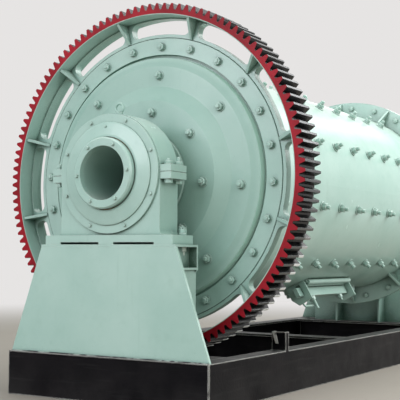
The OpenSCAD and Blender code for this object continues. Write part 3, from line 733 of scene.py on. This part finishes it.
def foot_nuts(name, side):
    """Bare nuts and stud ends of the foot bolts, under the pedestal plate."""
    builder = Builder()
    for x in (-FOOT_BOLT_X, FOOT_BOLT_X):
        foot = Vector((x, side * FOOT_BOLT_DEPTH, PLATE_BOTTOM))
        low = facing(foot, (0, 0, -1), any_turn())
        builder.seated_nut(low, *FOOT_LOW_NUT)
        builder.stud(low, *FOOT_LOW_STUD)
    builder.piece(name, "base", ZINC)


def at_manhole(round_drum, along, out):
    """Point at the manhole: down round the drum, along it and out from the axis."""
    turned = Matrix.Rotation(math.radians(90 + MANHOLE_ANGLE), 4, "Y")
    return Vector((0, MANHOLE_Y, AXIS_Z)) + turned @ Vector((round_drum, along, out))


def manhole_screws():
    """Two clamp screws through the beam, and the grip rod beside the front one."""
    builder = Builder()
    radial = at_manhole(0, 0, 1) - at_manhole(0, 0, 0)
    nut_turn = 0.4
    for along, stud_height in CLAMP_SCREWS:
        place = facing(at_manhole(CLAMP_ROUND, along, BEAM_FACE_R), radial, nut_turn)
        builder.seated_nut(place, *CLAMP_NUT)
        builder.stud(place, CLAMP_STUD_R, BEAM_FOOT_R - BEAM_FACE_R, stud_height)
    low, high = BEAM_FACE_R + GRIP_LOW, BEAM_FACE_R + GRIP_HIGH
    left, right = -GRIP_SPREAD, -CLAMP_SPREAD
    path = [(left, low), (left, high - GRIP_BEND), (left + GRIP_CUT, high - GRIP_CUT),
            (left + GRIP_BEND, high), (right - GRIP_BEND, high),
            (right - GRIP_CUT, high - GRIP_CUT), (right, high - GRIP_BEND),
            (right, BEAM_FACE_R + GRIP_SEAT)]
    points = [at_manhole(GRIP_ROUND, along, out) for along, out in path]
    builder.rod(points, GRIP_R, at_manhole(1, 0, 0) - at_manhole(0, 0, 0))
    builder.piece("manhole_clamp_screws", "drum", MINT_PAINT)


def base_welds():
    """Weld beads along the feet of the pedestals."""
    builder = Builder()
    up = Vector((0, 0, 1))
    start, end = PEDESTAL_LOW.x + 0.004, PEDESTAL_HIGH.x - 0.004
    for side in (-1, 1):
        y = -side * (PEDESTAL_LOW.y - 0.001)
        bead = []
        for k in range(WELD_STEPS + 1):
            x = start + (end - start) * k / WELD_STEPS
            bead.append(Vector((x, y, PEDESTAL_LOW.z + random.uniform(0.0, WELD_WAVE))))
        builder.rod(bead, WELD_R, up, 8)
    builder.piece("pedestal_welds", "base", weld_paint())


def lug_strips():
    """Flat bars welded aslant on the front faces of the lifting lugs."""
    builder = Builder()
    for side in (-1, 1):
        corners = [Vector((side * x, LUG_FACE, BASE_TOP + z)) for x, z in STRIP_CORNERS]
        builder.plate(corners, Vector((0, -STRIP_THICKNESS, 0)))
    builder.piece("lug_strips", "base", scuffed_steel())


head_bolts("front_head_bolts", -1)
head_bolts("rear_head_bolts", 1)
flange_nuts("front_flange_nuts", FLANGE_BACK, 1)
flange_nuts("rear_flange_nuts", REAR_FLANGE_FRONT, -1)
shell_bolts()
end_bolts("front_ring_bolts", -1)
end_bolts("rear_ring_bolts", 1)
bearing_bolts("front_bearing_bolts", -1)
bearing_bolts("rear_bearing_bolts", 1)
foot_nuts("front_foot_nuts", -1)
foot_nuts("rear_foot_nuts", 1)
manhole_screws()
base_welds()
lug_strips()


# Floor, light and camera
# Lamps: name, place, target, size, watts, tint
WHITE = (1, 1, 1)
LAMPS = (
    ("sky", (1.0, 1.0, 7.5), (0, 0, 1.4), (7, 9), 420, WHITE),
    ("window", (6.0, 4.5, 5.5), (0.5, 0.5, 1.2), (6, 5), 500, WHITE),
    ("hall", (7.5, -4.5, 3.6), (0, -1.0, 1.2), (5, 4), 170, WHITE),
    ("key", (-1.5, -9.0, 4.5), (0, -1.5, 1.2), (6, 4), 318, (1.0, 0.97, 1.06)),
)
# Windows behind the mill that gloss its far-turned surfaces: x, height, width, tallness, watts
FAR_WINDOWS = ((-3.9, 4.6, 2.6, 1.6, 40), (-0.4, 6.9, 2.6, 0.7, 8), (2.6, 8.6, 6.0, 1.2, 56))
FAR_WINDOW_Y = 12.5
FAR_WINDOW_TARGET = (0.5, 0, 1.8)


def stage_floor():
    """Plain floor that fades into the background far from the mill."""
    half_size, fade_start, fade_end = 40, 4.0, 11.0
    builder = bmesh.new()
    bmesh.ops.create_grid(builder, x_segments=1, y_segments=1, size=half_size)
    data = bpy.data.meshes.new("floor")
    builder.to_mesh(data)
    builder.free()
    floor = bpy.data.objects.new("floor", data)
    bpy.context.scene.collection.objects.link(floor)
    paint = Paint("floor_finish")
    paint.surface(
        Base_Color=paint.mix(paint.noise(1.2, 4), FLOOR, FLOOR_WORN),
        Roughness=0.8,
    )
    length = paint.add("ShaderNodeVectorMath", {0: paint.place}, operation="LENGTH")
    far = paint.ramp(length.outputs["Value"], fade_start, fade_end)
    path = paint.add("ShaderNodeLightPath").outputs
    seen = paint.math("MAXIMUM", path["Is Camera Ray"], path["Is Glossy Ray"])
    seen = paint.math("MAXIMUM", seen, path["Is Transmission Ray"])
    glow = paint.add("ShaderNodeEmission", {"Color": BACKGROUND, "Strength": 1.0})
    blend = paint.add("ShaderNodeMixShader", {
        0: paint.math("MULTIPLY", far, seen), 1: paint.shader.outputs[0], 2: glow.outputs[0]})
    output = paint.tree.nodes["Material Output"]
    paint.put(blend.outputs[0], output.inputs["Surface"])
    data.materials.append(paint.material)


def world_light():
    """Plain background for views and reflections, and soft light that grows with height."""
    horizon_light, high_light, high_start = 0.28, 0.75, 0.45
    light_tint = (0.87, 1.0, 0.94, 1.0)
    world = bpy.data.worlds.new("studio")
    bpy.context.scene.world = world
    world.use_nodes = True
    nodes, links = world.node_tree.nodes, world.node_tree.links
    nodes.clear()
    path = nodes.new("ShaderNodeLightPath")
    seen = nodes.new("ShaderNodeBackground")
    seen.inputs["Color"].default_value = BACKGROUND
    place = nodes.new("ShaderNodeTexCoord")
    split = nodes.new("ShaderNodeSeparateXYZ")
    height = nodes.new("ShaderNodeMapRange")
    height.inputs["From Min"].default_value = 0.0
    height.inputs["From Max"].default_value = high_start
    height.inputs["To Min"].default_value = horizon_light
    height.inputs["To Max"].default_value = high_light
    light = nodes.new("ShaderNodeBackground")
    light.inputs["Color"].default_value = light_tint
    choose = nodes.new("ShaderNodeMixShader")
    output = nodes.new("ShaderNodeOutputWorld")
    links.new(place.outputs["Generated"], split.inputs[0])
    links.new(split.outputs["Z"], height.inputs["Value"])
    links.new(height.outputs["Result"], light.inputs["Strength"])
    reflected = nodes.new("ShaderNodeMath")
    reflected.operation = "MAXIMUM"
    links.new(path.outputs["Is Glossy Ray"], reflected.inputs[0])
    links.new(path.outputs["Is Transmission Ray"], reflected.inputs[1])
    any_view = nodes.new("ShaderNodeMath")
    any_view.operation = "MAXIMUM"
    links.new(path.outputs["Is Camera Ray"], any_view.inputs[0])
    links.new(reflected.outputs[0], any_view.inputs[1])
    links.new(any_view.outputs[0], choose.inputs[0])
    links.new(light.outputs[0], choose.inputs[1])
    links.new(seen.outputs[0], choose.inputs[2])
    links.new(choose.outputs[0], output.inputs["Surface"])


def area_light(name, place, target, size, watts, tint=WHITE):
    data = bpy.data.lights.new(name, "AREA")
    data.shape = "RECTANGLE"
    data.size, data.size_y = size
    data.energy = watts
    data.color = tint
    lamp = bpy.data.objects.new(name, data)
    lamp.location = place
    lamp.rotation_mode = "QUATERNION"
    lamp.rotation_quaternion = (Vector(target) - Vector(place)).to_track_quat("-Z", "Y")
    bpy.context.scene.collection.objects.link(lamp)


def photo_camera():
    """Camera at the photograph's angle, fitted to the mill's measured corners and circles."""
    focal_pixels, picture = 991.0, 400.0
    yaw, pitch, roll = (math.radians(a) for a in (31.47, 3.17, 0.35))
    place = (3.566, -6.874, 0.876)
    data = bpy.data.cameras.new("camera")
    data.sensor_width = 36.0
    data.lens = data.sensor_width * focal_pixels / picture
    data.clip_end = 200
    camera = bpy.data.objects.new("camera", data)
    forward = Vector((-math.sin(yaw) * math.cos(pitch), math.cos(yaw) * math.cos(pitch),
                      math.sin(pitch)))
    level = Vector((math.cos(yaw), math.sin(yaw), 0))
    above = level.cross(forward)
    right = level * math.cos(roll) + above * math.sin(roll)
    up = above * math.cos(roll) - level * math.sin(roll)
    turned = Matrix((right, up, -forward)).transposed().to_4x4()
    camera.matrix_world = Matrix.Translation(place) @ turned
    bpy.context.scene.collection.objects.link(camera)
    bpy.context.scene.camera = camera


stage_floor()
world_light()
for lamp in LAMPS:
    area_light(*lamp)
for x, z, width, height, watts in FAR_WINDOWS:
    place = (x, FAR_WINDOW_Y, z)
    area_light(f"far_window_{x:.0f}", place, FAR_WINDOW_TARGET, (width, height), watts)
photo_camera()
bpy.context.scene.view_settings.view_transform = "Standard"
